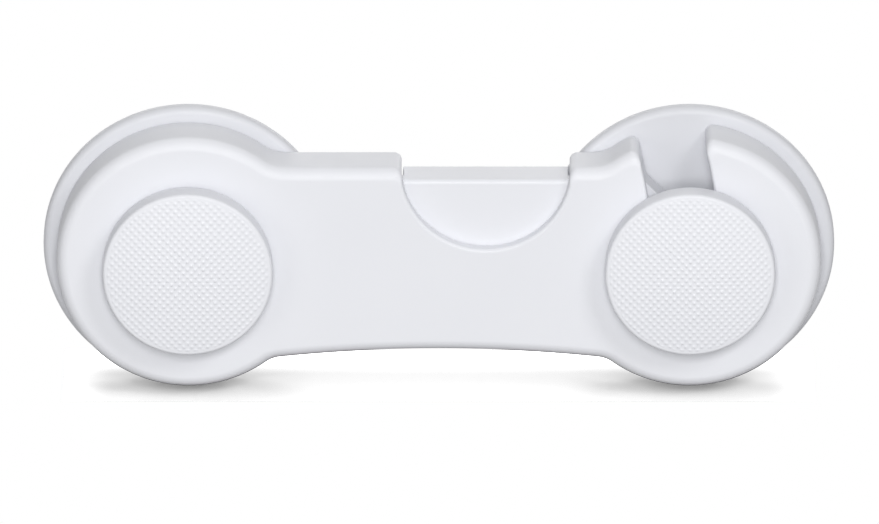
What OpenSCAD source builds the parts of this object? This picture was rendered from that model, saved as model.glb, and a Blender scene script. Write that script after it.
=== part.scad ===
// Cabinet safety lock for two doors that close side by side.
// Two round bases stick to the doors. A hollow bar turns on the post of the left base,
// and a slot in its right end drops over the post of the right base.
// A sprung latch inside the bar closes the slot above that post, and the thumb button draws it back.
// Lengths are in millimetres. The flat layout has x along the bar, y up the doors and z out from them.
// stand() then turns it upright, with the doors behind it and its front towards -y.

/* [Layout] */
// Distance between the axes of the two posts
post_spacing = 59.5; // [56:0.5:80]

/* [Bases] */
// Diameter of each round base
base_d = 34.5; // [33:0.5:40]
// Thickness of the base plate
base_t = 1.75; // [1.2:0.05:3]
// Rounding of the front edge of the base plate
base_edge_r = 0.85; // [0.2:0.05:1.1]
// Thickness of the foam adhesive pad
pad_t = 1; // [0.5:0.1:2]
// Margin from the edge of a base to the edge of its pad
pad_margin = 0.75; // [0.25:0.25:3]
// Diameter of the post on each base
post_d = 6.6; // [6.2:0.1:7.2]

/* [Caps] */
// Diameter of each round cap
cap_d = 20.1; // [16:0.1:24]
// Height of the straight side of a cap, with its rounded edge
cap_h = 3.1; // [2:0.1:5]
// Rounding of the front edge of a cap
cap_edge_r = 0.4; // [0.1:0.05:0.4]
// Width of the smooth rim round the domed grip face
cap_rim_w = 0.45; // [0.4:0.05:2]
// Rise of the domed grip face
cap_dome_h = 0.65; // [0.2:0.05:1.5]
// Gap between the face of the bar and the back of a cap
cap_gap = 0.8; // [0.2:0.05:1.5]
// Diameter of the spigot on the back of a cap
spigot_d = 4.4; // [3.6:0.1:5]

/* [Bar] */
// Diameter of the round ends of the bar
bar_end_d = 31.1; // [30:0.1:34]
// Thickness of the bar, front to back
bar_t = 6.75; // [6.5:0.05:9]
// Height of the straight top edge above the post axes
bar_top_y = 11.85; // [11.5:0.05:12.4]
// Depth of the bottom edge below the post axes, at mid length
bar_waist_y = 10.9; // [10.6:0.1:11.8]
// Share of the step from the round ends to the waist that the long curve takes up between the posts
waist_sag_share = 0.54; // [0.3:0.01:0.6]
// Radius of the fillets between the ends and the top edge
neck_top_r = 4.3; // [2:0.1:7]
// Radius of the fillets between the ends and the bottom edge
neck_bottom_r = 3.5; // [2:0.1:6]
// Rounding of the front edge of the bar
bar_edge_r = 1.45; // [0.4:0.05:2]
// Thickness of the side walls
wall_t = 1.5; // [1.2:0.05:1.8]
// Thickness of the front wall
face_t = 1.5; // [1.2:0.05:1.8]
// Thickness of the rear cover
cover_t = 1.2; // [1:0.05:1.5]

/* [Release button] */
// Radius of the half-moon thumb window
window_r = 10; // [8.5:0.1:10.4]
// Distance from the middle of the button to the axis of the catch post
button_from_catch = 24.2; // [23.5:0.1:27]
// Drop from the top edge of the bar to the top of the button
button_drop = 1.8; // [1.6:0.05:2.4]
// Travel of the button when it is pressed down
button_travel = 3.6; // [3.4:0.05:3.9]
// Height of the full-depth thumb ledge at the top of the button
ledge_h = 2; // [1.6:0.05:2.2]
// Rounding of the front edge of the thumb ledge
ledge_edge_r = 0.55; // [0.1:0.05:0.8]
// Thickness of the apron that fills the thumb window from behind
apron_t = 1.5; // [1.2:0.05:1.7]
// Overlap of the apron below the thumb window
apron_lap = 1.5; // [0.8:0.1:1.8]
// Reach of each stop wing beyond the side of the button
wing_w = 2.1; // [1.5:0.1:2.4]
// Height of a stop wing
wing_h = 2.7; // [2:0.1:3.2]
// Reach of the spring foot below the apron
foot_drop = 1.25; // [0.8:0.05:1.6]
// Distance of the button spring and of the cam pin from the middle of the button
prop_offset = 5.8; // [5.2:0.1:6.2]
// Diameter of the cam pin on the back of the button
cam_pin_d = 2.5; // [2:0.1:2.8]

/* [Latch] */
// Reach of the tongue past the wall of the slot
tongue_reach = 3.3; // [2.6:0.1:3.4]
// Gap between the post and the underside of the tongue
tongue_gap = 0.4; // [0.2:0.05:0.8]
// Height of the blunt tip of the tongue
tip_h = 2; // [1:0.05:2.5]
// Web of the latch plate round its cam slot
cam_web = 1.1; // [0.8:0.05:1.2]
// Thickness of the leg that takes the latch spring
leg_t = 1.5; // [1:0.1:1.9]

/* [Springs] */
// Outer diameter of the two springs
spring_d = 3.2; // [2.6:0.1:3.4]
// Diameter of the spring wire
wire_d = 0.35; // [0.3:0.05:0.5]
// Length of the fitted latch spring
spring_l = 8.5; // [8:0.1:9]
// Number of coils in a spring
spring_turns = 6; // [4:1:7]

/* [Screws] */
// Shank diameter of the cap screws
cap_screw_d = 2.2; // [1.8:0.1:2.6]
// Head diameter of the cap screws
cap_screw_head_d = 4.4; // [3.6:0.1:4.8]
// Head height of the cap screws
cap_screw_head_h = 1.4; // [1:0.1:1.8]
// Length of the shank of a cap screw
cap_screw_l = 6; // [4:0.1:6.4]
// Shank diameter of the cover screws
cover_screw_d = 1.6; // [1.2:0.1:2]
// Head diameter of the cover screws
cover_screw_head_d = 3.2; // [2.6:0.1:3.6]
// Height of the countersunk head of a cover screw
cover_screw_head_h = 0.9; // [0.6:0.05:0.95]
// Length of a cover screw with its head
cover_screw_l = 4.4; // [3:0.1:4.6]
// Distance of the two left cover screws from the pivot, along the bar
cover_screw_x = 13; // [11:0.5:15]
// Height of the two left cover screws above and below the pivot
cover_screw_y = 6; // [4:0.1:6.6]

/* [Clearances] */
// Radial clearance of the bar on the pivot post
pivot_gap = 0.05; // [0.02:0.01:0.1]
// Gap between the catch post and the outer wall of the slot
slot_gap = 0.2; // [0.1:0.05:0.4]
// Spare width of the slot on the pivot side of the catch post
slot_spare = 0.9; // [0:0.1:1.2]
// Gap between the bases and the back of the bar
bar_gap = 0.2; // [0.1:0.05:0.4]
// Gap on each side of the sliding pieces inside the bar
slide_gap = 0.2; // [0.1:0.02:0.24]
// Gap round the rear cover
cover_gap = 0.12; // [0.05:0.01:0.2]
// Radial clearance of screws, spigots and the cam pin in their holes
fit_gap = 0.04; // [0.02:0.01:0.08]

/* [Hidden] */
$fn = 96;

// Colours
abs_white = [0.91, 0.92, 0.94];
foam_grey = [0.80, 0.80, 0.79];
steel = [0.66, 0.67, 0.69];

// Small fixed sizes
overrun = 1;
rib_t = 1.4;
rail_t = 0.95;
peg_d = 1.5;
peg_l = 1.3;
screw_boss_wall = 1.1;
head_sink = 0.2;
cap_web_t = 1.4;
pilot_spare = 0.6;
recess_w = 0.5;

// Radii
base_r = base_d / 2;
post_r = post_d / 2;
cap_r = cap_d / 2;
spigot_r = spigot_d / 2;
end_r = bar_end_d / 2;
bore_r = post_r + pivot_gap;
bore_wall_r = bore_r + wall_t;
slot_r = post_r + slot_gap + slot_spare / 2;
slot_wall_r = slot_r + wall_t;
spring_r = spring_d / 2;
wire_r = wire_d / 2;
coil_r = spring_r - wire_r;
cam_pin_r = cam_pin_d / 2;
cam_slot_r = cam_pin_r + fit_gap;
cap_screw_r = cap_screw_d / 2;
cap_screw_head_r = cap_screw_head_d / 2;
cover_screw_r = cover_screw_d / 2;
cover_screw_head_r = cover_screw_head_d / 2;
screw_boss_r = cover_screw_r + fit_gap + screw_boss_wall;

// Heights above the doors
plate_z = pad_t;
plate_front_z = plate_z + base_t;
bar_z = plate_front_z + bar_gap;
cover_front_z = bar_z + cover_t;
bar_front_z = bar_z + bar_t;
face_z = bar_front_z - face_t;
cap_z = bar_front_z + cap_gap;
rim_z = cap_z + cap_h;
button_front_z = face_z - slide_gap;
apron_z = button_front_z - apron_t;
ledge_z = bar_z;
latch_z = cover_front_z + slide_gap;
latch_front_z = apron_z - slide_gap;
spring_z = (cover_front_z + face_z) / 2;
head_floor_z = plate_z + head_sink + cap_screw_head_h;
cap_web_z = head_floor_z + cap_web_t;

// Outline of the bar: round ends, straight top, long hollow bottom, filleted necks
half_spacing = post_spacing / 2;
slot_x = post_spacing - slot_spare / 2;
waist_sag = waist_sag_share * (end_r - bar_waist_y);
waist_arc_r = (pow(half_spacing, 2) + pow(waist_sag, 2)) / (2 * waist_sag);
waist_c = [half_spacing, -(bar_waist_y + waist_arc_r)];
neck_top_y = bar_top_y + neck_top_r;
neck_top_x = sqrt(pow(end_r + neck_top_r, 2) - pow(neck_top_y, 2));
neck_top_a = atan2(neck_top_y, neck_top_x);
neck_reach = end_r + neck_bottom_r;
waist_reach = waist_arc_r - neck_bottom_r;
waist_far = norm(waist_c);
neck_along = (pow(neck_reach, 2) - pow(waist_reach, 2) + pow(waist_far, 2)) / (2 * waist_far);
neck_across = sqrt(pow(neck_reach, 2) - pow(neck_along, 2));
waist_dir = waist_c / waist_far;
neck_bottom = neck_along * waist_dir + neck_across * [-waist_dir.y, waist_dir.x];
neck_bottom_a = atan2(-neck_bottom.y, neck_bottom.x);
waist_a = atan2(neck_bottom.y - waist_c.y, neck_bottom.x - waist_c.x);
END_STEPS = 52;
NECK_STEPS = 6;
WAIST_STEPS = 14;
EDGE_STEPS = 5;

// Button
button_x = post_spacing - button_from_catch;
button_half_w = window_r - slide_gap;
button_side_x = button_x + button_half_w;
inner_top_y = bar_top_y - wall_t;
ledge_top_y = bar_top_y - button_drop;
ledge_low_y = ledge_top_y - ledge_h;
wing_top_y = inner_top_y - slide_gap;
wing_low_y = wing_top_y - wing_h;

// Cam: the pin on the button runs down a sloping slot in the latch and draws it to the left
latch_travel = button_travel;
arm_top_y = ledge_low_y - button_travel - 2 * slide_gap;
cam_x = button_x + prop_offset;
cam_y = arm_top_y - cam_web - cam_slot_r;
arm_low_y = cam_y - button_travel - cam_slot_r - cam_web;
arm_left_x = cam_x - cam_slot_r - cam_web;
apron_low_y = min(bar_top_y - window_r - apron_lap, cam_y - cam_pin_r);

// Latch tongue
slot_near_r = slot_x - slot_r;
tongue_low_y = post_r + tongue_gap;
tip_x = sqrt(pow(slot_near_r, 2) - pow(tongue_low_y, 2)) + tongue_reach;
head_top_y = inner_top_y - slide_gap;
head_left_x = button_side_x + latch_travel + slide_gap;
shoulder_x = sqrt(pow(slot_near_r - wall_t, 2) - pow(tongue_low_y, 2)) - slide_gap;
block_left_x = button_side_x + wing_w + latch_travel + 2 * slide_gap;

// Springs
button_spring_x = button_x - prop_offset;
button_spring_low_y = inner_waist_y(button_spring_x);
foot_low_y = apron_low_y - foot_drop;
button_spring_l = foot_low_y - button_spring_low_y;
rail_top_y = arm_low_y - slide_gap;
latch_spring_y = rail_top_y - rail_t - slide_gap - spring_r;
leg_right_x = head_left_x - slide_gap;
leg_left_x = leg_right_x - leg_t;
seat_x = leg_left_x - spring_l;
RINGS_PER_COIL = 8;
RING_SIDES = 6;

// Cover screws: two beside the pivot, two on a circle round the catch
screw_circle_r = (slot_wall_r + end_r - wall_t) / 2;
right_screw_angles = [0, 235];
screw_spots = concat(
  [for (side = [-1, 1]) [cover_screw_x, side * cover_screw_y]],
  [for (a = right_screw_angles) [post_spacing + screw_circle_r * cos(a), screw_circle_r * sin(a)]]
);

// Height of the inside of the bottom wall at a place along the bar
function inner_waist_y(x) =
  waist_c.y + sqrt(pow(waist_arc_r + wall_t, 2) - pow(x - waist_c.x, 2));

// Points along an arc, without its last point
function arc(c, r, a0, a1, steps) =
  [for (i = [0 : steps - 1]) let (a = a0 + (a1 - a0) * i / steps) c + r * [cos(a), sin(a)]];

// Outline of the bar, drawn in by an inset: round ends shrink and hollow curves grow
function bar_outline(inset) =
  let (
    end = end_r - inset,
    neck_top = neck_top_r + inset,
    neck_low = neck_bottom_r + inset,
    catch = [post_spacing, 0],
    right_neck = [post_spacing - neck_top_x, neck_top_y],
    left_neck = [neck_top_x, neck_top_y],
    right_low = [post_spacing - neck_bottom.x, neck_bottom.y]
  )
  concat(
    arc(catch, end, neck_bottom_a - 180, 180 - neck_top_a, END_STEPS),
    arc(right_neck, neck_top, -neck_top_a, -90, NECK_STEPS),
    [right_neck - [0, neck_top]],
    arc(left_neck, neck_top, -90, neck_top_a - 180, NECK_STEPS),
    arc([0, 0], end, neck_top_a, 360 - neck_bottom_a, END_STEPS),
    arc(neck_bottom, neck_low, 180 - neck_bottom_a, waist_a, NECK_STEPS),
    arc(waist_c, waist_arc_r + inset, waist_a, 180 - waist_a, WAIST_STEPS),
    arc(right_low, neck_low, 180 - waist_a, neck_bottom_a, NECK_STEPS)
  );

// Point on the centre line of a spring, from 0 at its lower end to 1 at its upper end
function coil_point(t, length) =
  let (a = 360 * spring_turns * t)
  [coil_r * cos(a), coil_r * sin(a), wire_r + (length - wire_d) * t];

// Ring of points round the wire of a spring
function coil_ring(t, length) =
  let (
    a = 360 * spring_turns * t,
    climb = atan2(length - wire_d, 2 * PI * coil_r * spring_turns),
    out = [cos(a), sin(a), 0],
    up = [sin(a) * sin(climb), -cos(a) * sin(climb), cos(climb)]
  )
  [for (k = [0 : RING_SIDES - 1]) let (b = 360 * k / RING_SIDES)
    coil_point(t, length) + wire_r * (cos(b) * out + sin(b) * up)];

// Stands the flat layout upright
module stand() {
  rotate([90, 0, 0]) children();
}

// Moves a piece of the left base to the right one
module at_catch() {
  translate([post_spacing, 0, 0]) children();
}

// Block between two corners
module block(low, high) {
  translate(low) cube(high - low);
}

// Half profile of a disc with a rounded front edge
module rounded_disc(r, t, edge) {
  square([r, t - edge]);
  square([r - edge, t]);
  translate([r - edge, t - edge]) circle(edge);
}

// Foam adhesive disc, seated on the door
module pad() {
  color(foam_grey) cylinder(r = base_r - pad_margin, h = pad_t);
}

// Round base plate with its hollow post
module base() {
  color(abs_white) rotate_extrude() difference() {
    union() {
      translate([0, plate_z]) intersection() {
        rounded_disc(base_r, base_t, base_edge_r);
        square([base_r, base_t]);
      }
      translate([0, plate_z]) square([post_r, cap_z - plate_z]);
    }
    translate([0, plate_z - overrun]) square([cap_screw_head_r + fit_gap, head_floor_z - plate_z + overrun]);
    translate([0, plate_z]) square([cap_screw_r + fit_gap, cap_z - plate_z]);
    translate([0, cap_web_z]) square([spigot_r + fit_gap, cap_z - cap_web_z + overrun]);
  }
}

// Round cap with a domed grip face and a spigot that goes down the post
module cap() {
  dome_w = cap_r - cap_rim_w;
  dome_r = (pow(dome_w, 2) + pow(cap_dome_h, 2)) / (2 * cap_dome_h);
  color(abs_white) rotate_extrude() difference() {
    union() {
      translate([0, cap_z]) intersection() {
        rounded_disc(cap_r, cap_h, cap_edge_r);
        square([cap_r, cap_h]);
      }
      intersection() {
        translate([0, rim_z + cap_dome_h - dome_r]) circle(dome_r);
        translate([0, cap_z]) square([dome_w, cap_h + cap_dome_h]);
      }
      translate([0, cap_web_z + head_sink]) square([spigot_r, cap_z - cap_web_z]);
    }
    square([cap_screw_r + fit_gap, head_floor_z + cap_screw_l + pilot_spare]);
  }
}

// Cross recess for a driver, in a head whose outer face is at z = 0
module cross_recess(w, depth) {
  for (turn = [0, 90]) {
    rotate([0, 0, turn]) block([-w, -recess_w / 2, -overrun], [w, recess_w / 2, depth]);
  }
}

// Self-tapping screw from behind the base into the spigot of the cap
module cap_screw() {
  color(steel) difference() {
    union() {
      translate([0, 0, head_floor_z - cap_screw_head_h]) cylinder(r = cap_screw_head_r, h = cap_screw_head_h);
      translate([0, 0, head_floor_z]) cylinder(r = cap_screw_r, h = cap_screw_l);
    }
    translate([0, 0, head_floor_z - cap_screw_head_h]) cross_recess(cap_screw_r, cap_screw_head_h / 2);
  }
}

// Solid body of the bar with its rounded front edge and spare length behind z = 0
module bar_body() {
  rings = concat(
    [[0, -overrun]],
    [for (i = [0 : EDGE_STEPS]) let (a = 90 * i / EDGE_STEPS)
      [bar_edge_r * (1 - cos(a)), bar_t - bar_edge_r * (1 - sin(a))]]
  );
  count = len(bar_outline(0));
  points = [for (ring = rings) for (p = bar_outline(ring[0])) [p.x, p.y, ring[1]]];
  sides = [for (level = [0 : len(rings) - 2]) for (i = [0 : count - 1])
    let (a = level * count + i, b = level * count + (i + 1) % count)
    [a, a + count, b + count, b]];
  back = [for (i = [0 : count - 1]) i];
  front = [for (i = [count - 1 : -1 : 0]) (len(rings) - 1) * count + i];
  polyhedron(points, concat([back, front], sides));
}

// Slot that is open at the top, along the arc that the catch post takes past the bar
module slot_shape(r) {
  translate([slot_x, 0]) circle(r);
  intersection() {
    difference() {
      circle(slot_x + r);
      circle(slot_x - r);
    }
    translate([half_spacing, 0]) square([post_spacing, end_r + overrun]);
  }
}

// Hollow of the bar, inside its side walls and round the walls of the bore and the slot
module hollow_shape(gap) {
  difference() {
    polygon(bar_outline(wall_t + gap));
    circle(bore_wall_r + gap);
    slot_shape(slot_wall_r + gap);
  }
}

// Ribs, rail, spring seats and screw bosses on the inside of the front wall
module shell_fittings() {
  weld_z = face_z + face_t / 2;
  rib_top_y = wing_low_y - button_travel - slide_gap;
  rib_x = button_half_w + slide_gap;
  // Two guide ribs beside the apron, whose tops stop the wings
  for (side = [-1, 1]) {
    translate([button_x, 0, 0]) mirror([side < 0 ? 1 : 0, 0, 0])
      block([rib_x, apron_low_y - button_travel, apron_z], [rib_x + rib_t, rib_top_y, weld_z]);
  }
  // Rail under the latch arm
  block(
    [arm_left_x - latch_travel, rail_top_y - rail_t, latch_z],
    [leg_left_x - latch_travel - slide_gap, rail_top_y, weld_z]
  );
  // Seat and peg of the latch spring
  block(
    [seat_x - rib_t, inner_waist_y(seat_x) - wall_t / 2, latch_z],
    [seat_x, rail_top_y - rail_t / 2, weld_z]
  );
  translate([seat_x - rib_t / 2, latch_spring_y, spring_z]) rotate([0, 90, 0])
    cylinder(d = peg_d, h = rib_t / 2 + peg_l);
  // Peg of the button spring
  translate([button_spring_x, button_spring_low_y + peg_l, spring_z]) rotate([90, 0, 0])
    cylinder(d = peg_d, h = peg_l + wall_t / 2);
  // Bosses of the cover screws
  for (spot = screw_spots) {
    translate([spot.x, spot.y, cover_front_z]) cylinder(r = screw_boss_r, h = weld_z - cover_front_z);
  }
}

// Front of the bar with its skirt, pivot bore, slot, thumb window and inner fittings
module bar_shell() {
  color(abs_white) stand() difference() {
    union() {
      difference() {
        // Body with a flat back, and the hollow in it
        intersection() {
          translate([0, 0, bar_z]) bar_body();
          block(
            [-end_r - overrun, -end_r - overrun, bar_z],
            [post_spacing + end_r + overrun, end_r + overrun, bar_front_z + overrun]
          );
        }
        translate([0, 0, bar_z - overrun]) linear_extrude(face_z - bar_z + overrun) hollow_shape(0);
      }
      shell_fittings();
    }
    // Pivot bore and slot
    translate([0, 0, bar_z - overrun]) cylinder(r = bore_r, h = bar_t + 2 * overrun);
    translate([0, 0, bar_z - overrun]) linear_extrude(bar_t + 2 * overrun) slot_shape(slot_r);
    // Half-moon window in the front wall, and the notch behind it in the top wall
    translate([button_x, bar_top_y, face_z - slide_gap]) cylinder(r = window_r, h = face_t + overrun);
    block(
      [button_x - window_r, inner_top_y - slide_gap, bar_z - overrun],
      [button_x + window_r, bar_top_y + overrun, face_z]
    );
    // Way of the tongue through the wall of the slot
    block(
      [head_left_x, tongue_low_y - slide_gap, cover_front_z],
      [tip_x, head_top_y + slide_gap, face_z]
    );
    // Holes of the cover screws
    for (spot = screw_spots) {
      translate([spot.x, spot.y, bar_z]) cylinder(r = cover_screw_r + fit_gap, h = cover_screw_l + slide_gap);
    }
  }
}

// Plate that closes the back of the bar, notched where the thumb ledge goes down
module bar_rear_cover() {
  notch_low_y = ledge_low_y - button_travel - slide_gap;
  color(abs_white) stand() difference() {
    translate([0, 0, bar_z]) linear_extrude(cover_t) difference() {
      hollow_shape(cover_gap);
      translate([button_x - window_r, notch_low_y]) square([2 * window_r, bar_top_y - notch_low_y]);
    }
    for (spot = screw_spots) {
      translate([spot.x, spot.y, bar_z]) countersunk(fit_gap, cover_t + overrun);
    }
  }
}

// Countersunk screw shape with its head at z = 0
module countersunk(gap, length) {
  cylinder(r1 = cover_screw_head_r + gap, r2 = cover_screw_r + gap, h = cover_screw_head_h);
  cylinder(r = cover_screw_r + gap, h = length);
}

// Four countersunk screws of the rear cover
module cover_screws() {
  color(steel) stand() for (spot = screw_spots) {
    translate([spot.x, spot.y, bar_z]) difference() {
      countersunk(0, cover_screw_l);
      cross_recess(cover_screw_r, cover_screw_head_h / 2);
    }
  }
}

// Thumb button: full-depth ledge, apron behind the window, stop wings, spring foot and cam pin
module release_button() {
  left_x = button_x - button_half_w;
  ledge_t = button_front_z - ledge_z;
  color(abs_white) stand() {
    // Ledge, drawn in profile and run along the bar
    translate([left_x, 0, 0]) rotate([90, 0, 90]) linear_extrude(2 * button_half_w)
      translate([ledge_low_y, ledge_z]) intersection() {
        rounded_disc(ledge_h, ledge_t, ledge_edge_r);
        square([ledge_h, ledge_t]);
      }
    block([left_x, apron_low_y, apron_z], [button_side_x, ledge_low_y + ledge_h / 2, button_front_z]);
    // Wings that stop under the top wall of the bar
    for (side = [-1, 1]) {
      translate([button_x, 0, 0]) mirror([side < 0 ? 1 : 0, 0, 0])
        block(
          [button_half_w - slide_gap, wing_low_y, apron_z],
          [button_half_w + wing_w, wing_top_y, button_front_z]
        );
    }
    // Foot and peg on the button spring
    block(
      [button_spring_x - spring_r, foot_low_y, spring_z - spring_r],
      [button_spring_x + spring_r, apron_low_y + cam_web, button_front_z]
    );
    translate([button_spring_x, foot_low_y + cam_web, spring_z]) rotate([90, 0, 0])
      cylinder(d = peg_d, h = cam_web + peg_l);
    // Cam pin
    translate([cam_x, cam_y, latch_z]) cylinder(r = cam_pin_r, h = apron_z - latch_z + apron_t / 2);
  }
}

// Outline of the latch: arm, leg, head and ramped tongue
module latch_shape() {
  tip_top_y = tongue_low_y + tip_h;
  polygon([
    [arm_left_x, arm_low_y],
    [leg_right_x, arm_low_y],
    [leg_right_x, 0],
    [shoulder_x, 0],
    [shoulder_x, tongue_low_y],
    [tip_x, tongue_low_y],
    [tip_x, tip_top_y],
    [tip_x - (head_top_y - tip_top_y), head_top_y],
    [head_left_x, head_top_y],
    [head_left_x, arm_top_y],
    [arm_left_x, arm_top_y]
  ]);
}

// Sloping slot for the cam pin, from its place at rest to its place when pressed
module cam_slot_shape() {
  translate([cam_x, cam_y]) {
    circle(cam_slot_r);
    translate([latch_travel, -button_travel]) circle(cam_slot_r);
    rotate(-atan2(button_travel, latch_travel)) translate([0, -cam_slot_r])
      square([norm([latch_travel, button_travel]), 2 * cam_slot_r]);
  }
}

// Latch that slides along the bar and closes the slot above the catch post
module latch_bolt() {
  color(abs_white) stand() {
    translate([0, 0, latch_z]) linear_extrude(latch_front_z - latch_z) difference() {
      latch_shape();
      cam_slot_shape();
    }
    // Full-depth tongue
    translate([0, 0, latch_z]) linear_extrude(button_front_z - latch_z) intersection() {
      latch_shape();
      translate([block_left_x, tongue_low_y]) square([tip_x - block_left_x, head_top_y - tongue_low_y]);
    }
    // Leg and peg on the latch spring
    block(
      [leg_left_x, latch_spring_y - spring_r, latch_z],
      [leg_right_x, arm_low_y, spring_z + spring_r]
    );
    block([leg_left_x, arm_low_y - slide_gap, latch_z], [leg_right_x, arm_low_y + cam_web, latch_front_z]);
    translate([leg_left_x - peg_l, latch_spring_y, spring_z]) rotate([0, 90, 0])
      cylinder(d = peg_d, h = peg_l + leg_t / 2);
  }
}

// Coil spring along z, from its lower seat at z = 0
module coil_spring(length) {
  rings = RINGS_PER_COIL * spring_turns;
  points = [for (i = [0 : rings]) for (p = coil_ring(i / rings, length)) p];
  sides = [for (i = [0 : rings - 1]) for (k = [0 : RING_SIDES - 1])
    let (
      a = i * RING_SIDES + k,
      b = i * RING_SIDES + (k + 1) % RING_SIDES,
      c = a + RING_SIDES,
      d = b + RING_SIDES
    )
    each [[a, c, b], [b, c, d]]];
  last = rings * RING_SIDES;
  ends = [for (k = [1 : RING_SIDES - 2]) each [[0, k, k + 1], [last, last + k + 1, last + k]]];
  polyhedron(points, concat(sides, ends));
}

// Spring under the foot of the button
module button_spring() {
  color(steel) stand() translate([button_spring_x, button_spring_low_y, spring_z])
    rotate([-90, 0, 0]) coil_spring(button_spring_l);
}

// Spring behind the leg of the latch
module latch_spring() {
  color(steel) stand() translate([seat_x, latch_spring_y, spring_z])
    rotate([0, 90, 0]) coil_spring(spring_l);
}

// Least gap between neighbouring coils of a spring, measured on points of its centre line
COIL_SAMPLES = RINGS_PER_COIL * spring_turns;
shorter_l = min(spring_l, button_spring_l);
coil_gaps = [for (i = [0 : COIL_SAMPLES]) for (j = [i + RINGS_PER_COIL / 2 : COIL_SAMPLES])
  norm(coil_point(i / COIL_SAMPLES, shorter_l) - coil_point(j / COIL_SAMPLES, shorter_l)) - wire_d];
echo(least_gap_between_coils = min(coil_gaps));

module pivot_adhesive_pad() { stand() pad(); }
module pivot_base() { stand() base(); }
module pivot_cap() { stand() cap(); }
module pivot_cap_screw() { stand() cap_screw(); }
module catch_adhesive_pad() { stand() at_catch() pad(); }
module catch_base() { stand() at_catch() base(); }
module catch_cap() { stand() at_catch() cap(); }
module catch_cap_screw() { stand() at_catch() cap_screw(); }

pivot_adhesive_pad();
pivot_base();
pivot_cap();
pivot_cap_screw();
catch_adhesive_pad();
catch_base();
catch_cap();
catch_cap_screw();
bar_shell();
bar_rear_cover();
cover_screws();
release_button();
button_spring();
latch_bolt();
latch_spring();
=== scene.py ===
# %% [markdown]
# # Cabinet safety lock
# This lesson dresses the solid model of a two-door cabinet lock as it looks when new: satin white
# plastic, two round stick-on bases, a dog-bone bar, a thumb button and two knurled caps. The solid
# model gives every size and every joint. Here its plain solids get smooth edges, moulded texture
# and studio light.

import math

import bmesh
import bpy
from mathutils import Matrix, Vector


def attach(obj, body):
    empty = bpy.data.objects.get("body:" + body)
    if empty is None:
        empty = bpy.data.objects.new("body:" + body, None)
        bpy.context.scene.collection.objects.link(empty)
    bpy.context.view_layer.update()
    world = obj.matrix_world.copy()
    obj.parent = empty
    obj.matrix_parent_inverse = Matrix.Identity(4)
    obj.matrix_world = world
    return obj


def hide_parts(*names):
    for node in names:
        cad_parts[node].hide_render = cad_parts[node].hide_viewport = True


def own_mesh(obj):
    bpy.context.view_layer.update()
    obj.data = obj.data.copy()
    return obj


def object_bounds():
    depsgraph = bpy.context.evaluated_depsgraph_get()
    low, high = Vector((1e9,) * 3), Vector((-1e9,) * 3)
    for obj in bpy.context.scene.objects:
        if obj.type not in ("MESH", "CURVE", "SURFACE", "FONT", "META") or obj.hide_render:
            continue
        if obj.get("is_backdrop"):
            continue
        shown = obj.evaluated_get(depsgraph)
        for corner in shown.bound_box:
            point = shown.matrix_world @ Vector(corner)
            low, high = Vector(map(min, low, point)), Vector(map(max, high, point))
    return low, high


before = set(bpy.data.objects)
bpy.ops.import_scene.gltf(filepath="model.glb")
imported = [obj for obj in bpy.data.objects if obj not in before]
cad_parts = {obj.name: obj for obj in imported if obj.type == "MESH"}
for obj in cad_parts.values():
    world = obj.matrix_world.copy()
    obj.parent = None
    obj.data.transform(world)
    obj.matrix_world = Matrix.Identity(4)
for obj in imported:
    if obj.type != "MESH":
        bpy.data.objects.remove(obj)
cad_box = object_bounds()
print("nodes:", ", ".join(sorted(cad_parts)))

# %% [markdown]
# ## One frame for every piece
# The model stands upright: x runs along the bar, z goes up the doors and the front looks towards -y.
# Most pieces are easier to draw flat, in millimetres, with x and y on the paper and z towards the eye.
# One matrix then stands the drawing up and turns millimetres into metres, so each finished
# object stays at the origin, unturned and unscaled, with its place in its mesh.

# %% Matrices from the drawing to the model
MM = 0.001
SCALE = Matrix.Scale(MM, 4)
STAND_UP = SCALE @ Matrix(((1, 0, 0, 0), (0, 0, -1, 0), (0, 1, 0, 0), (0, 0, 0, 1)))
POST_SPACING = 59.5
print("a point 10 mm in front of the doors:", tuple(STAND_UP @ Vector((0, 0, 10))))

# %% [markdown]
# ## Satin white plastic
# The real lock is moulded in white ABS. Its skin is neither glossy nor chalky: it scatters light,
# shows soft highlights on the rounded edges and has a very fine spark-eroded grain from the mould.
# A flat colour would look like paper, so three noises work together: a broad one shifts the white
# by a hair, a middle one breaks up the roughness, and a fine one gives the grain as bump.

# %% Helpers for materials
def start_material(name):
    made = bpy.data.materials.new(name)
    made.use_nodes = True
    tree = made.node_tree
    place = tree.nodes.new("ShaderNodeTexCoord").outputs["Object"]
    return made, tree, tree.nodes["Principled BSDF"], place


def noise(tree, place, size_mm, detail=2.0):
    """Noise whose blotches are about size_mm across."""
    node = tree.nodes.new("ShaderNodeTexNoise")
    node.inputs["Scale"].default_value = 1 / (size_mm * MM)
    node.inputs["Detail"].default_value = detail
    tree.links.new(place, node.inputs["Vector"])
    return node.outputs["Fac"]


NOISE_LOW = 0.3
NOISE_HIGH = 0.7


def spread(tree, value, low, high):
    """Stretches the middle of a noise over low to high."""
    node = tree.nodes.new("ShaderNodeMapRange")
    node.inputs["From Min"].default_value = NOISE_LOW
    node.inputs["From Max"].default_value = NOISE_HIGH
    node.inputs["To Min"].default_value = low
    node.inputs["To Max"].default_value = high
    tree.links.new(value, node.inputs["Value"])
    return node.outputs["Result"]


def blend_colours(tree, share, first, second):
    node = tree.nodes.new("ShaderNodeMix")
    node.data_type = "RGBA"
    node.inputs["A"].default_value = (*first, 1)
    node.inputs["B"].default_value = (*second, 1)
    tree.links.new(share, node.inputs["Factor"])
    return node.outputs["Result"]


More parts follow.
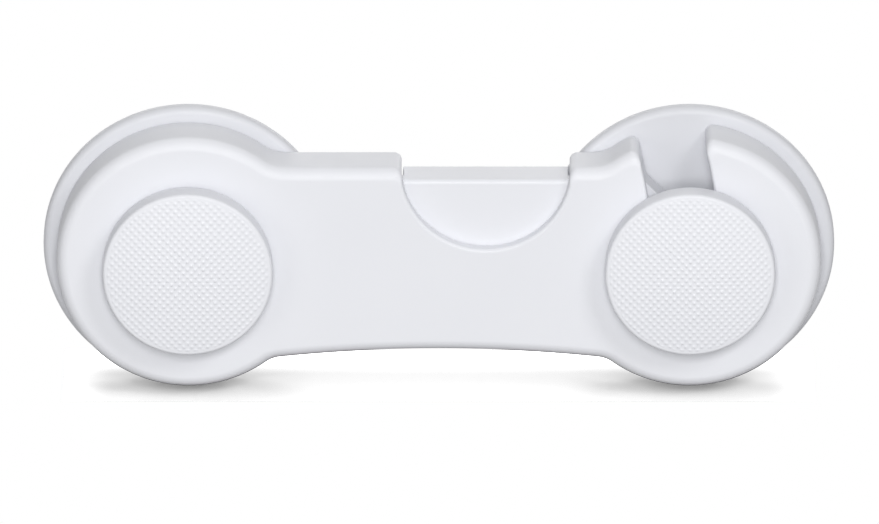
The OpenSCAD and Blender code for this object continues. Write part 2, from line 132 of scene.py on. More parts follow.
def grain(tree, shader, height, depth_mm, strength):
    node = tree.nodes.new("ShaderNodeBump")
    node.inputs["Distance"].default_value = depth_mm * MM
    node.inputs["Strength"].default_value = strength
    tree.links.new(height, node.inputs["Height"])
    tree.links.new(node.outputs["Normal"], shader.inputs["Normal"])


print("noise, spread, blend and grain are ready")

# %% [markdown]
# ## Three grades of the same plastic
# The bar and its rear cover share one finish. The bases and the latch tongue get a greyer copy of the
# same white: painted shade, standing in for the shade that falls on the bases behind the bar and on the
# tongue under the cap. The caps and the button see more handling and come from another tool, so they
# get a slightly finer and shinier skin. All three are one function with different numbers, because the
# stuff is the same.

# %% White plastic
CLOUD_MM = 14
BLOTCH_MM = 1.6
GRAIN_STRENGTH = 0.35
PLASTIC_IOR = 1.5
WHITE = (0.80, 0.808, 0.845)
SHADE = (0.787, 0.796, 0.834)
# Painted shade: the bases and the latch tongue get this darker copy of the white, for the shade they lie
# in.
PAINTED_SHADE_WHITE = (0.68, 0.687, 0.72)
PAINTED_SHADE_TONE = (0.668, 0.676, 0.71)


def white_plastic(name, white, shade, rough, grain_mm, depth_mm):
    made, tree, shader, place = start_material(name)
    broad = noise(tree, place, CLOUD_MM, detail=3)
    middle = noise(tree, place, BLOTCH_MM, detail=4)
    fine = noise(tree, place, grain_mm)
    tint = blend_colours(tree, spread(tree, broad, 0, 1), white, shade)
    tree.links.new(tint, shader.inputs["Base Color"])
    tree.links.new(spread(tree, middle, *rough), shader.inputs["Roughness"])
    grain(tree, shader, fine, depth_mm, GRAIN_STRENGTH)
    shader.inputs["IOR"].default_value = PLASTIC_IOR
    return made


body_plastic = white_plastic(
    "satin_white_plastic", WHITE, SHADE, rough=(0.52, 0.60), grain_mm=0.16, depth_mm=0.004
)
# Painted shade: a darker copy of the white plastic for the bases and the latch tongue.
painted_shade_plastic = white_plastic(
    "painted_shade_white_plastic", PAINTED_SHADE_WHITE, PAINTED_SHADE_TONE, rough=(0.50, 0.58), grain_mm=0.16, depth_mm=0.004
)
grip_plastic = white_plastic(
    "grip_white_plastic", WHITE, SHADE, rough=(0.46, 0.54), grain_mm=0.12, depth_mm=0.003
)
print("plastics:", body_plastic.name, painted_shade_plastic.name, grip_plastic.name)

# %% [markdown]
# ## Foam tape and steel
# Behind each base sits a disc of closed-cell foam tape. Small cells show on its cut edge, so a
# Voronoi pattern pits it, and the pits are coloured darker as painted shade. The screws and springs are
# bright zinc-plated steel: a metal with fine scratches drawn out along one direction by a stretched
# noise.

# %% Foam and steel
FOAM_CELL = 0.22
# Painted shade: the pits of the cells are coloured darker than the skin.
FOAM_PIT_SHADE = (0.66, 0.66, 0.64)
FOAM_SKIN = (0.80, 0.80, 0.785)
FOAM_BLOTCH = 3
SCRATCH_MM = 0.3
SCRATCH_STRETCH = (1.0, 0.15, 1.0)
STEEL_DARK = (0.60, 0.61, 0.63)
STEEL_LIGHT = (0.72, 0.73, 0.74)


def foam_tape(name):
    made, tree, shader, place = start_material(name)
    cells = tree.nodes.new("ShaderNodeTexVoronoi")
    cells.inputs["Scale"].default_value = 1 / (FOAM_CELL * MM)
    tree.links.new(place, cells.inputs["Vector"])
    height = cells.outputs["Distance"]
    # The deeper a point lies in a cell's pit, the darker it is painted: painted shade.
    tree.links.new(blend_colours(tree, height, FOAM_PIT_SHADE, FOAM_SKIN), shader.inputs["Base Color"])
    blotches = noise(tree, place, FOAM_BLOTCH, detail=3)
    tree.links.new(spread(tree, blotches, 0.8, 0.95), shader.inputs["Roughness"])
    grain(tree, shader, height, depth_mm=0.06, strength=0.8)
    return made


def bright_steel(name):
    made, tree, shader, place = start_material(name)
    stretched = tree.nodes.new("ShaderNodeMapping")
    stretched.inputs["Scale"].default_value = SCRATCH_STRETCH
    tree.links.new(place, stretched.inputs["Vector"])
    streaks = noise(tree, stretched.outputs["Vector"], SCRATCH_MM, detail=4)
    tint = blend_colours(tree, spread(tree, streaks, 0, 1), STEEL_DARK, STEEL_LIGHT)
    tree.links.new(tint, shader.inputs["Base Color"])
    tree.links.new(spread(tree, streaks, 0.22, 0.40), shader.inputs["Roughness"])
    grain(tree, shader, streaks, depth_mm=0.004, strength=0.4)
    shader.inputs["Metallic"].default_value = 1.0
    return made


foam = foam_tape("foam_tape")
steel = bright_steel("zinc_plated_steel")
print("others:", foam.name, steel.name)

# %% [markdown]
# ## A pen that draws with operators
# The outlines of the lock are lines and arcs. A pen carries one vertex: for a line it extrudes that
# vertex, and for an arc it spins it about a centre. Both are bmesh operators, so no list of
# coordinates is worked out by hand, and the pen only keeps the trail of vertices it left.

# %% Pen
ARC_STEP = 0.35
FINE_STEP = 0.12
LEAST_STEPS = 3


class Pen:
    def __init__(self, bm, x, y):
        self.bm = bm
        self.trail = [bm.verts.new((x, y, 0))]

    @property
    def tip(self):
        return self.trail[-1]

    def line(self, x, y):
        made = bmesh.ops.extrude_vert_indiv(self.bm, verts=[self.tip])
        made["verts"][0].co = (x, y, 0)
        self.trail.append(made["verts"][0])

    def run(self, x, y):
        start, end = self.tip.co.xy, Vector((x, y))
        steps = max(1, math.ceil((end - start).length / ARC_STEP))
        for i in range(1, steps + 1):
            self.line(*start.lerp(end, i / steps))

    def arc(self, x, y, degrees, step=ARC_STEP):
        radius = (self.tip.co.xy - Vector((x, y))).length
        turn = math.radians(degrees)
        steps = max(LEAST_STEPS, math.ceil(radius * abs(turn) / step))
        before = len(self.bm.verts)
        bmesh.ops.spin(
            self.bm, geom=[self.tip], cent=(x, y, 0), axis=(0, 0, 1), angle=turn, steps=steps
        )
        self.bm.verts.ensure_lookup_table()
        self.trail += self.bm.verts[before:]


trial = bmesh.new()
pen = Pen(trial, 1, 0)
pen.arc(0, 0, 90)
print("end of a quarter turn:", [round(c, 3) for c in pen.tip.co])
trial.free()

# %% [markdown]
# ## From a bmesh to a piece
# Every new piece ends the same way. Sharp folds are marked, so that smooth shading stops at them, and one
# matrix puts the piece in place.

# %% Finish a piece
FOLD = math.radians(32)


def mark_folds(bm):
    for edge in bm.edges:
        folded = edge.is_manifold and edge.calc_face_angle(0) > FOLD
        edge.smooth = not folded
    for face in bm.faces:
        face.smooth = True


def make_piece(bm, name, place, material, body, node):
    bmesh.ops.transform(bm, matrix=place, verts=bm.verts)
    mesh = bpy.data.meshes.new(name)
    bm.to_mesh(mesh)
    mesh.materials.append(material)
    piece = bpy.data.objects.new(name, mesh)
    bpy.context.collection.objects.link(piece)
    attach(piece, body)
    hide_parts(node)
    open_edges = sum(not edge.is_manifold for edge in bm.edges)
    print(f"{name}: {len(bm.faces)} faces, {open_edges} open edges")
    bm.free()
    return piece


print("a fold sharper than", round(math.degrees(FOLD)), "degrees stays crisp")

# %% [markdown]
# ## Round pieces are turned
# Bases, caps and pads are turned shapes: half a section, spun a full circle about the post.
# The section is drawn with x as the radius and y as minus the height above the door, which is
# just how it lies in the model, so only the scale is left. A full spin merges its seam.

# %% Turn a section about a post
MERGE = 2e-4


def turn_section(bm, steps):
    bmesh.ops.spin(
        bm,
        geom=list(bm.verts) + list(bm.edges),
        cent=(0, 0, 0),
        axis=(0, 1, 0),
        angle=math.tau,
        steps=steps,
        use_merge=True,
    )
    bmesh.ops.remove_doubles(bm, verts=bm.verts, dist=MERGE)
    bmesh.ops.recalc_face_normals(bm, faces=bm.faces)


def post_place(which):
    return SCALE @ Matrix.Translation((POST_SPACING * which, 0, 0))


POSTS = {"pivot": 0, "catch": 1}
print("posts at", [POST_SPACING * which for which in POSTS.values()], "mm")

# %% [markdown]
# ## Foam pads
# Each base is held by a die-cut disc of foam tape. A plain cylinder would look like a coin, so the
# cut edge is drawn a little hollow: foam draws in between its two glued skins when it is cut.

# %% Foam pads
PAD_R = 16.5
PAD_T = 1.0
PAD_EDGE_R = 0.1
PAD_EDGE_STEP = 0.04
PAD_DRAW_IN = 0.12
HOLLOW_SHARES = ((0.3, 0.8), (0.5, 1.0), (0.7, 0.8))
PAD_STEPS = 128


def foam_pad(name, which):
    bm = bmesh.new()
    section = Pen(bm, 0, 0)
    section.line(PAD_R - PAD_EDGE_R, 0)
    section.arc(PAD_R - PAD_EDGE_R, -PAD_EDGE_R, -90, PAD_EDGE_STEP)
    for depth_share, hollow_share in HOLLOW_SHARES:
        section.line(PAD_R - PAD_DRAW_IN * hollow_share, -PAD_T * depth_share)
    section.line(PAD_R, PAD_EDGE_R - PAD_T)
    section.arc(PAD_R - PAD_EDGE_R, PAD_EDGE_R - PAD_T, -90, PAD_EDGE_STEP)
    section.line(0, -PAD_T)
    turn_section(bm, PAD_STEPS)
    mark_folds(bm)
    node = name + "_adhesive_pad"
    pad = make_piece(bm, name + "_foam_pad", post_place(which), foam, "bases", node)


for name, which in POSTS.items():
    foam_pad(name, which)

# %% [markdown]
# ## Bases
# A base is a thin round plate with a rounded front edge and a hollow post in its middle. The post
# takes the screw head from behind and the spigot of the cap from the front, and a small
# fillet joins it to the plate, as a moulder would ask for. All of it is one section, spun in fine steps
# so that the big rim stays round in a close view.

# %% Bases
BASE_R = 17.25
BASE_BACK = 1.0
BASE_FRONT = 2.75
BASE_EDGE_R = 0.85
POST_R = 3.3
POST_TOP = 10.5
POST_ROOT_R = 0.2
POST_EASE = 0.2
BASE_BACK_EASE = 0.15
SCREW_HOLE_R = 1.14
SOCKET_R = 2.24
SCREW_FLOOR = 2.6
SOCKET_FLOOR = 4.0
BASE_STEPS = 192


def round_base(name, which):
    bm = bmesh.new()
    section = Pen(bm, SOCKET_R, -BASE_BACK)
    section.line(BASE_R - BASE_BACK_EASE, -BASE_BACK)
    section.line(BASE_R, -BASE_BACK - BASE_BACK_EASE)
    section.line(BASE_R, BASE_EDGE_R - BASE_FRONT)
    section.arc(BASE_R - BASE_EDGE_R, BASE_EDGE_R - BASE_FRONT, -90, FINE_STEP)
    section.line(POST_R + POST_ROOT_R, -BASE_FRONT)
    section.arc(POST_R + POST_ROOT_R, -BASE_FRONT - POST_ROOT_R, 90, FINE_STEP / 2)
    section.line(POST_R, POST_EASE - POST_TOP)
    section.line(POST_R - POST_EASE, -POST_TOP)
    section.line(SOCKET_R, -POST_TOP)
    section.line(SOCKET_R, -SOCKET_FLOOR)
    section.line(SCREW_HOLE_R, -SOCKET_FLOOR)
    section.line(SCREW_HOLE_R, -SCREW_FLOOR)
    section.line(SOCKET_R, -SCREW_FLOOR)
    section.line(SOCKET_R, -BASE_BACK)
    turn_section(bm, BASE_STEPS)
    mark_folds(bm)
    piece, node = name + "_round_base", name + "_base"
    # The base gets the darker white, which is painted shade.
    make_piece(bm, piece, post_place(which), painted_shade_plastic, "bases", node)


for name, which in POSTS.items():
    round_base(name, which)

# %% [markdown]
# ## Knurled caps
# The caps hold the bar on its posts. Each has a straight side, a narrow smooth rim and a low dome that
# is covered with small rounded studs, set in rows like a chessboard turned on its corner.
# Studs could be a bump in the material, but they catch the light along their edges, so they are made
# in the mesh: the dome is spun with fine rings, and each of its vertices is raised by the crests of two
# crossed waves. The troughs stay on the dome, so that every stud stands by itself.

# %% Knurled caps
CAP_R = 10.05
CAP_BACK = 10.5
CAP_RIM = 13.6
CAP_EDGE_R = 0.4
CAP_BACK_R = 0.25
CAP_EDGE_STEP = 0.08
DOME_R = 9.6
DOME_RISE = 0.65
SPIGOT_R = 2.2
SPIGOT_TIP = 4.2
SPIGOT_EASE = 0.2
PILOT_FLOOR = 9.2
STUD_PITCH = 0.94
STUD_RISE = 0.1
STUD_FADE = 0.2
ON_RIM = 1e-4
DOME_RINGS = 110
CAP_STEPS = 480


def raise_studs(bm):
    wave = math.tau / STUD_PITCH
    for vert in bm.verts:
        radius = math.hypot(vert.co.x, vert.co.z)
        if -vert.co.y > CAP_RIM - ON_RIM and radius < DOME_R:
            share = min(1.0, (DOME_R - radius) / STUD_FADE)
            rise = max(0.0, math.cos(wave * vert.co.x) * math.cos(wave * vert.co.z))
            vert.co.y -= STUD_RISE * share * rise


def knurled_cap(name, which):
    ball_r = (DOME_R**2 + DOME_RISE**2) / (2 * DOME_RISE)
    bm = bmesh.new()
    section = Pen(bm, 0, -PILOT_FLOOR)
    section.line(SCREW_HOLE_R, -PILOT_FLOOR)
    section.line(SCREW_HOLE_R, -SPIGOT_TIP)
    section.line(SPIGOT_R - SPIGOT_EASE, -SPIGOT_TIP)
    section.line(SPIGOT_R, -SPIGOT_TIP - SPIGOT_EASE)
    section.line(SPIGOT_R, -CAP_BACK)
    section.line(CAP_R - CAP_BACK_R, -CAP_BACK)
    section.arc(CAP_R - CAP_BACK_R, -CAP_BACK - CAP_BACK_R, -90, CAP_EDGE_STEP)
    section.line(CAP_R, CAP_EDGE_R - CAP_RIM)
    section.arc(CAP_R - CAP_EDGE_R, CAP_EDGE_R - CAP_RIM, -90, CAP_EDGE_STEP)
    section.line(DOME_R, -CAP_RIM)
    lean = math.degrees(math.asin(DOME_R / ball_r))
    section.arc(0, ball_r - CAP_RIM - DOME_RISE, -lean, DOME_R / DOME_RINGS)
    turn_section(bm, CAP_STEPS)
    mark_folds(bm)
    raise_studs(bm)
    piece, node = name + "_knurled_cap", name + "_cap"
    make_piece(bm, piece, post_place(which), grip_plastic, "bases", node)


for name, which in POSTS.items():
    knurled_cap(name, which)

# %% [markdown]
# ## Outline of the bar
# Seen from the front, the bar is a dog bone: two round ends, a straight top, a long hollow bottom and
# filleted necks. A slot comes down from the top of the right end to the catch post, along the
# arc that the post takes past the bar. The pen walks once round it clockwise, from the right side of
# the thumb window to its left side, and the same walk moved in by the wall gives the inside.

# %% Sizes of the bar
END_R = 15.55
TOP_Y = 11.85
WAIST_Y = 10.9
WAIST_SAG_SHARE = 0.54
NECK_TOP_R = 4.3
NECK_LOW_R = 3.5
WALL = 1.5
SLOT_GAP = 0.2
SLOT_SPARE = 0.9
SLOT_CORNER_R = 0.9
WINDOW_X = 35.3
WINDOW_R = 10.0
NOTCH_CORNER_R = 0.9
BAR_BACK = 2.95
BAR_INSIDE = 8.2
BAR_FRONT = 9.7
WAY_TOP = 10.35
WAY_LOW = 3.5
WAY_BACK = 4.15

half = POST_SPACING / 2
slot_x = POST_SPACING - SLOT_SPARE / 2
slot_half = POST_R + SLOT_GAP + SLOT_SPARE / 2
neck_y = TOP_Y + NECK_TOP_R
neck_x = math.sqrt((END_R + NECK_TOP_R) ** 2 - neck_y**2)
neck_turn = math.degrees(math.atan2(neck_y, neck_x))
waist_sag = WAIST_SAG_SHARE * (END_R - WAIST_Y)
waist_r = (half**2 + waist_sag**2) / (2 * waist_sag)
waist = Vector((half, -WAIST_Y - waist_r))
reach = END_R + NECK_LOW_R
along = (reach**2 - (waist_r - NECK_LOW_R) ** 2 + waist.length_squared) / (2 * waist.length)
aside = math.sqrt(reach**2 - along**2)
aim = waist.normalized()
low_neck = along * aim + aside * Vector((-aim.y, aim.x))
low_turn = math.degrees(math.atan2(-low_neck.y, low_neck.x))
waist_turn = math.degrees(math.atan2(low_neck.y - waist.y, low_neck.x - waist.x))
print(f"waist radius {waist_r:.1f} mm, necks at {neck_turn:.1f} and {low_turn:.1f} degrees")

# %% [markdown]
# ## Where circles cross
# Corners where an arc meets the slot are rounded with a small circle that touches both. Its centre is
# found where two larger circles cross, one about each post. The corners of the thumb window touch a
# straight top and a circle, so a right-angled triangle gives theirs.

# %% Crossings
def crossing(from_pivot, from_catch):
    x = (from_pivot**2 - from_catch**2 + POST_SPACING**2) / (2 * POST_SPACING)
    return x, math.sqrt(from_pivot**2 - x**2)


def bearing(x, y):
    return math.degrees(math.atan2(y, x))


notch_lean = math.degrees(math.asin(NOTCH_CORNER_R / (WINDOW_R + NOTCH_CORNER_R)))
notch_x = (WINDOW_R + NOTCH_CORNER_R) * math.cos(math.radians(notch_lean))
notch_side = WINDOW_R * math.cos(math.radians(notch_lean))
notch_y = TOP_Y - WINDOW_R * math.sin(math.radians(notch_lean))
print(f"thumb notch from {WINDOW_X - notch_side:.2f} to {WINDOW_X + notch_side:.2f} mm")

# %% [markdown]
# ## Walk round the bar
# One function walks the whole outline, so that the outside and the inside can't drift apart. It remembers
# where it passed the way of the latch tongue, the middle of the slot and the far left, because faces
# end there, and it lists the rounded corners for the next steps. The inside has no rounded corners.

# %% Walk
def walk_round(bm, inset, corner):
    """Trail round the bar, its marks, and each corner as (index on the edge, index on the wall)."""
    end, top = END_R - inset, TOP_Y - inset
    marks, corners = {}, []
    if corner:
        pen = Pen(bm, WINDOW_X + notch_side, notch_y)
        pen.arc(WINDOW_X + notch_x, TOP_Y - NOTCH_CORNER_R, notch_lean - 90, FINE_STEP)
        corners.append((len(pen.trail) - 1, 0))
    else:
        pen = Pen(bm, WINDOW_X + notch_side, top)
    pen.run(POST_SPACING - neck_x, top)
    pen.arc(POST_SPACING - neck_x, neck_y, 90 - neck_turn)
    near = slot_x - slot_half - inset
    x, y = crossing(near - corner, end - corner)
    around, across = bearing(x - POST_SPACING, y), bearing(x, y)
    pen.arc(POST_SPACING, 0, around - 180 + neck_turn)
    if corner:
        on_edge = len(pen.trail) - 1
        pen.arc(x, y, across - around, FINE_STEP)
        corners.append((on_edge, len(pen.trail) - 1))
    for name, height in (("way_top", WAY_TOP), ("way_low", WAY_LOW), ("slot", 0)):
        level = math.degrees(math.asin(height / near))
        pen.arc(0, 0, level - across)
        marks[name] = len(pen.trail) - 1
        across = level
    pen.arc(slot_x, 0, 180)
    far = slot_x + slot_half + inset
    x, y = crossing(far + corner, end - corner)
    around, across = bearing(x - POST_SPACING, y), bearing(x, y)
    pen.arc(0, 0, across)
    if corner:
        on_wall = len(pen.trail) - 1
        pen.arc(x, y, around - across - 180, FINE_STEP)
        corners.append((len(pen.trail) - 1, on_wall))
    pen.arc(POST_SPACING, 0, low_turn - 180 - around)
    pen.arc(POST_SPACING - low_neck.x, low_neck.y, 180 - waist_turn - low_turn)
    pen.arc(waist.x, waist.y, 2 * waist_turn - 180)
    pen.arc(low_neck.x, low_neck.y, 180 - low_turn - waist_turn)
    pen.arc(0, 0, low_turn - 180)
    marks["left"] = len(pen.trail) - 1
    pen.arc(0, 0, neck_turn - 180)
    pen.arc(neck_x, neck_y, 90 - neck_turn)
    if corner:
        pen.run(WINDOW_X - notch_x, TOP_Y)
        on_edge = len(pen.trail) - 1
        pen.arc(WINDOW_X - notch_x, TOP_Y - NOTCH_CORNER_R, notch_lean - 90, FINE_STEP)
        corners.append((on_edge, len(pen.trail) - 1))
    else:
        pen.run(WINDOW_X - notch_side, top)
    return pen.trail, marks, corners


trial = bmesh.new()
print("points on the inside of the wall:", len(walk_round(trial, WALL, 0)[0]))
trial.free()

# %% [markdown]
# ## The bar as one closed shell
# The bar is a shallow tray that opens backwards: a front wall, a skirt all round, a sleeve for the pivot
# post and walls along the slot. The front wall is drawn as two faces that meet on the centre line,
# because a face can't hold the pivot hole, and extruded forwards. Then the rim of the skirt and the
# sleeve are faces of their own, and extruding them backwards closes the shell.

# %% Front wall, skirt and sleeve
BORE_GAP = 0.05
BORE_R = POST_R + BORE_GAP
BORE_SIDES = 96
SLEEVE_R = BORE_R + WALL


def half_rings(bm, radius):
    """Upper and lower half of a circle about the pivot, each from the right or left end."""
    ring = bmesh.ops.create_circle(bm, segments=BORE_SIDES, radius=radius)["verts"]
    ring.sort(key=lambda vert: math.atan2(vert.co.y, vert.co.x) % math.tau)
    middle = BORE_SIDES // 2
    return ring[: middle + 1], ring[middle:] + ring[:1]


def extrude_by(bm, faces, depth):
    edges = {edge for face in faces for edge in face.edges}
    made = bmesh.ops.extrude_face_region(bm, geom=faces + list(edges))["geom"]
    verts = [item for item in made if isinstance(item, bmesh.types.BMVert)]
    bmesh.ops.translate(bm, vec=(0, 0, depth), verts=verts)
    return [item for item in made if isinstance(item, bmesh.types.BMFace)], verts


bm = bmesh.new()
drawn = bm.verts.layers.float_vector.new("drawn")
wide = bm.verts.layers.float_vector.new("wide")
fine = bm.verts.layers.float_vector.new("fine")
outer, outer_at, corners = walk_round(bm, 0, SLOT_CORNER_R)
inner, inner_at, _ = walk_round(bm, WALL, 0)
window = Pen(bm, *outer[-1].co.xy)
window.arc(WINDOW_X, TOP_Y, 180 - 2 * notch_lean)
moon = window.trail[1:-1]
bmesh.ops.delete(bm, geom=[window.trail[0], window.trail[-1]], context="VERTS")
bore_up, bore_low = half_rings(bm, BORE_R)
sleeve_up, sleeve_low = half_rings(bm, SLEEVE_R)
print(f"outline of {len(outer)} points, inside of {len(inner)}, window of {len(moon)}")

# %% [markdown]
# ## Rounded front edges
# The outer front edge has a generous rounding, while the edges of the window and the slot are only
# eased, and both run right into the corners where they meet. So the edge is built from level lines, as on
# a map: at each depth below the front the outer edge has moved in by one amount and the eased edge by
# another. Each vertex keeps its two ways to move in two layers of the mesh, called wide and fine.

# %% Rounding along the outline
EDGE_R = 1.45
EASED_R = 0.42
edge_loop = outer + moon
inwards, aheads = [], []
for i in range(len(edge_loop)):
    ahead = (edge_loop[(i + 1) % len(edge_loop)].co - edge_loop[i - 1].co).normalized()
    aheads.append(ahead)
    inwards.append(Vector((ahead.y, -ahead.x, 0)))
walled = set(range(corners[1][1], corners[2][1] + 1)) | set(range(len(outer), len(edge_loop)))
for i, vert in enumerate(edge_loop):
    vert[fine if i in walled else wide] = inwards[i]
print(f"{len(walled)} eased points of {len(edge_loop)}")

# %% [markdown]
# ## Corners of the outline
# At a corner both edges meet, so all its vertices move by both ways at once, each measured along
# the other edge. Left alone, they would run into their neighbours, so these slide along the outline
# too, less and less, until they are out of reach of the corner.

# %% Corners
SLIDE_OVER = 5.0


def slide_from(start, step, layer, way):
    """Lets the vertices beyond a corner slide along the outline, less and less."""
    far, i = 0.0, start
    while True:
        beyond = edge_loop[(i + step) % len(edge_loop)]
        far += (beyond.co - edge_loop[i].co).length
        i = (i + step) % len(edge_loop)
        if far >= SLIDE_OVER:
            return
        along = aheads[i] if aheads[i].dot(way) > 0 else -aheads[i]
        beyond[layer] += along * way.length * (1 - far / SLIDE_OVER)


for on_edge, on_wall in corners:
    to_edge, to_wall = inwards[on_edge], inwards[on_wall]
    wide_way = aheads[on_wall] / aheads[on_wall].dot(to_edge)
    fine_way = aheads[on_edge] / aheads[on_edge].dot(to_wall)
    step = 1 if on_wall > on_edge else -1
    for i in range(on_edge, on_wall + step, step):
        edge_loop[i][wide], edge_loop[i][fine] = wide_way, fine_way
    slide_from(on_wall, step, wide, wide_way)
    slide_from(on_wall, step, fine, fine_way - to_wall)
    slide_from(on_edge, -step, fine, fine_way)
    slide_from(on_edge, -step, wide, wide_way - to_edge)
for vert in set(bore_up + bore_low):
    vert[fine] = vert.co.normalized()
for vert in bm.verts:
    vert[drawn] = vert.co
print(f"{len(corners)} corners, and neighbours that slide over {SLIDE_OVER} mm")

# %% [markdown]
# ## Level by level to the front
# A bevel has one size, and here two sizes run into each other in a corner. Extruding the front faces
# once for each level line, and moving every new vertex by its two ways, gives both roundings at once
# and keeps the corners clean.

# %% Level lines
ROUND_STEPS = 8
EASE_STEPS = 5


def moved_in(size, depth):
    """How far a rounding of that size has moved in at a depth below the front."""
    return size - math.sqrt(size**2 - max(0.0, size - depth) ** 2)


def round_edge(bm, faces, height):
    """Extrudes faces level by level to the front, along the roundings of their outline."""
    turns = [(EDGE_R, math.pi / 2 * i / ROUND_STEPS) for i in range(ROUND_STEPS + 1)]
    turns += [(EASED_R, math.pi / 2 * i / EASE_STEPS) for i in range(EASE_STEPS)]
    for depth in sorted((size * (1 - math.sin(turn)) for size, turn in turns), reverse=True):
        faces, verts = extrude_by(bm, faces, 0)
        for vert in verts:
            aside = vert[wide] * moved_in(EDGE_R, depth) + vert[fine] * moved_in(EASED_R, depth)
            vert.co = vert[drawn] + aside + Vector((0, 0, height - depth))
    return faces


print(f"an edge has moved in {moved_in(EDGE_R, EASED_R):.2f} mm at a depth of {EASED_R} mm")

# %% [markdown]
# ## Close the shell
# The front wall comes first, then its back is opened again and replaced by three kinds of face: the
# inside of the wall, the rim of the skirt and the ring of the sleeve. The skirt is left out where
# the latch tongue passes through the slot wall, and a sill closes that gap at the back.

# %% Close the shell
slot_o, left_o = outer_at["slot"], outer_at["left"]
slot_i, left_i = inner_at["slot"], inner_at["left"]
front = [
    bm.faces.new(outer[: slot_o + 1] + bore_up + outer[left_o:] + moon),
    bm.faces.new(outer[slot_o : left_o + 1] + bore_low),
]
wall_faces = round_edge(bm, front, BAR_FRONT - BAR_INSIDE)
bmesh.ops.delete(bm, geom=front, context="FACES_ONLY")
kept = set(inner + sleeve_up + sleeve_low)
bare = [edge for edge in bm.edges if edge.is_wire and not kept & set(edge.verts)]
bmesh.ops.delete(bm, geom=bare, context="EDGES")
way_o = outer_at["way_top"], outer_at["way_low"]
way_i = inner_at["way_top"], inner_at["way_low"]
rims = [
    bm.faces.new(outer[: way_o[0] + 1] + inner[: way_i[0] + 1][::-1]),
    bm.faces.new(outer[way_o[1] :] + inner[way_i[1] :][::-1]),
    bm.faces.new(sleeve_up + bore_up[::-1]),
    bm.faces.new(sleeve_low + bore_low[::-1]),
]
bm.faces.new(outer[way_o[0] : way_o[1] + 1] + inner[way_i[0] : way_i[1] + 1][::-1])
bm.faces.new(inner[: slot_i + 1] + sleeve_up + inner[left_i:] + [outer[-1]] + moon + [outer[0]])
bm.faces.new(inner[slot_i : left_i + 1] + sleeve_low)
rims, rim_verts = extrude_by(bm, rims, WAY_BACK - BAR_INSIDE)
print(f"front wall of {len(wall_faces)} faces, {len(rims)} rims behind it")

# %% [markdown]
# ## Sill of the tongue way
# At the depth of the rear cover the wall of the slot runs on, so the gap in the skirt is bridged by one
# more face there. Extruding it back with the rims leaves an opening just large enough for the tongue.

# %% Sill
BACK_EASE = 0.15


def at_depth(verts, flat):
    return min(verts, key=lambda vert: (vert.co.xy - flat.co.xy).length)


sill_edges = []
for trail, way in ((outer, way_o), (inner, way_i)):
    level = [at_depth(rim_verts, trail[way[0]])]
    for flat in trail[way[0] + 1 : way[1]]:
        level.append(bm.verts.new((flat.co.x, flat.co.y, level[0].co.z)))
    level.append(at_depth(rim_verts, trail[way[1]]))
    sill_edges.append(level)
sill = sill_edges[0] + sill_edges[1][::-1]
rims.append(bm.faces.new(sill))
rims, rim_verts = extrude_by(bm, rims, BAR_BACK + BACK_EASE - WAY_BACK)
bm.faces.new(sill)
rims, rim_verts = extrude_by(bm, rims, -BACK_EASE)
for vert in rim_verts:
    vert.co += (vert[wide] + vert[fine]) * BACK_EASE
bmesh.ops.translate(bm, vec=(0, 0, BAR_INSIDE), verts=bm.verts)
bmesh.ops.recalc_face_normals(bm, faces=bm.faces)
print("open edges of the shell:", sum(not edge.is_manifold for edge in bm.edges))

# %% [markdown]
# ## Fittings inside the bar
# Behind the front wall stand the pieces that guide the works: two ribs beside the button, a rail and a
# seat for the latch and its spring, two pegs inside the springs and four screw sleeves. They are
# plain blocks and turned tubes whose roots are sunk in the wall, so each is made on its own.

# %% Ribs, rail and seat
def block(bm, low, high):
    low, high = Vector(low), Vector(high)
    place = Matrix.Translation((low + high) / 2) @ Matrix.Diagonal((*(high - low), 1))
    bmesh.ops.create_cube(bm, size=1, matrix=place)


def add_turned(bm, section, place, steps=40):
    """Turns a section of (radius, height) corners and adds it at place, standing along z."""
    part = bmesh.new()
    pen = Pen(part, *section[0])
    for corner in section[1:]:
        pen.line(*corner)
    turn_section(part, steps)
    upright = place @ Matrix.Rotation(math.pi / 2, 4, "X")
    bmesh.ops.transform(part, matrix=upright, verts=part.verts)
    mesh = bpy.data.meshes.new("turned")
    part.to_mesh(mesh)
    part.free()
    bm.from_mesh(mesh)
    bpy.data.meshes.remove(mesh)


ROOT = BAR_INSIDE + WALL / 2
GUIDE_BACK = 4.35
RIB_LEFTS = (23.9, 45.3)
RIB_W = 1.4
RIB_LOW = -3.25
RIB_HIGH = 3.65
RIB_BACK = 6.5
LATCH_RAIL = ((35.11, -5.48), (43.4, -4.53))
LATCH_SEAT = ((37.3, -10.1), (38.7, -5.0))
for x in RIB_LEFTS:
    block(bm, (x, RIB_LOW, RIB_BACK), (x + RIB_W, RIB_HIGH, ROOT))
for low, high in (LATCH_RAIL, LATCH_SEAT):
    block(bm, (*low, GUIDE_BACK), (*high, ROOT))
print(f"ribs, rail and seat on {len(bm.faces)} faces")

# %% [markdown]
# ## Pegs and screw sleeves
# A peg inside each spring keeps it from buckling, and the screws of the rear cover bite into four short
# tubes. Both are sections of a few corners, turned and set in place, with the tip of a peg chamfered
# so that the spring finds its way onto it.

# %% Pegs and screw sleeves
SPRING_DEPTH = 6.175
BUTTON_SPRING_X = 29.5
BUTTON_PEG_TIP = -8.1
LATCH_SPRING_Y = -7.28
LATCH_PEG_TIP = 40.0
PEG_R = 0.75
PEG_L = 2.05
PEG_EASE = 0.1
SLEEVE_IN_R = 0.84
SLEEVE_OUT_R = 1.94
SLEEVE_L = ROOT - WAY_BACK
SCREW_SPOTS = ((13, -6), (13, 6), (69.25, 0), (53.908, -7.987))


def eased_rod(radius, length, ease):
    """Section of a rod that starts with a chamfer."""
    return [(0, 0), (radius - ease, 0), (radius, ease), (radius, length), (0, length)]


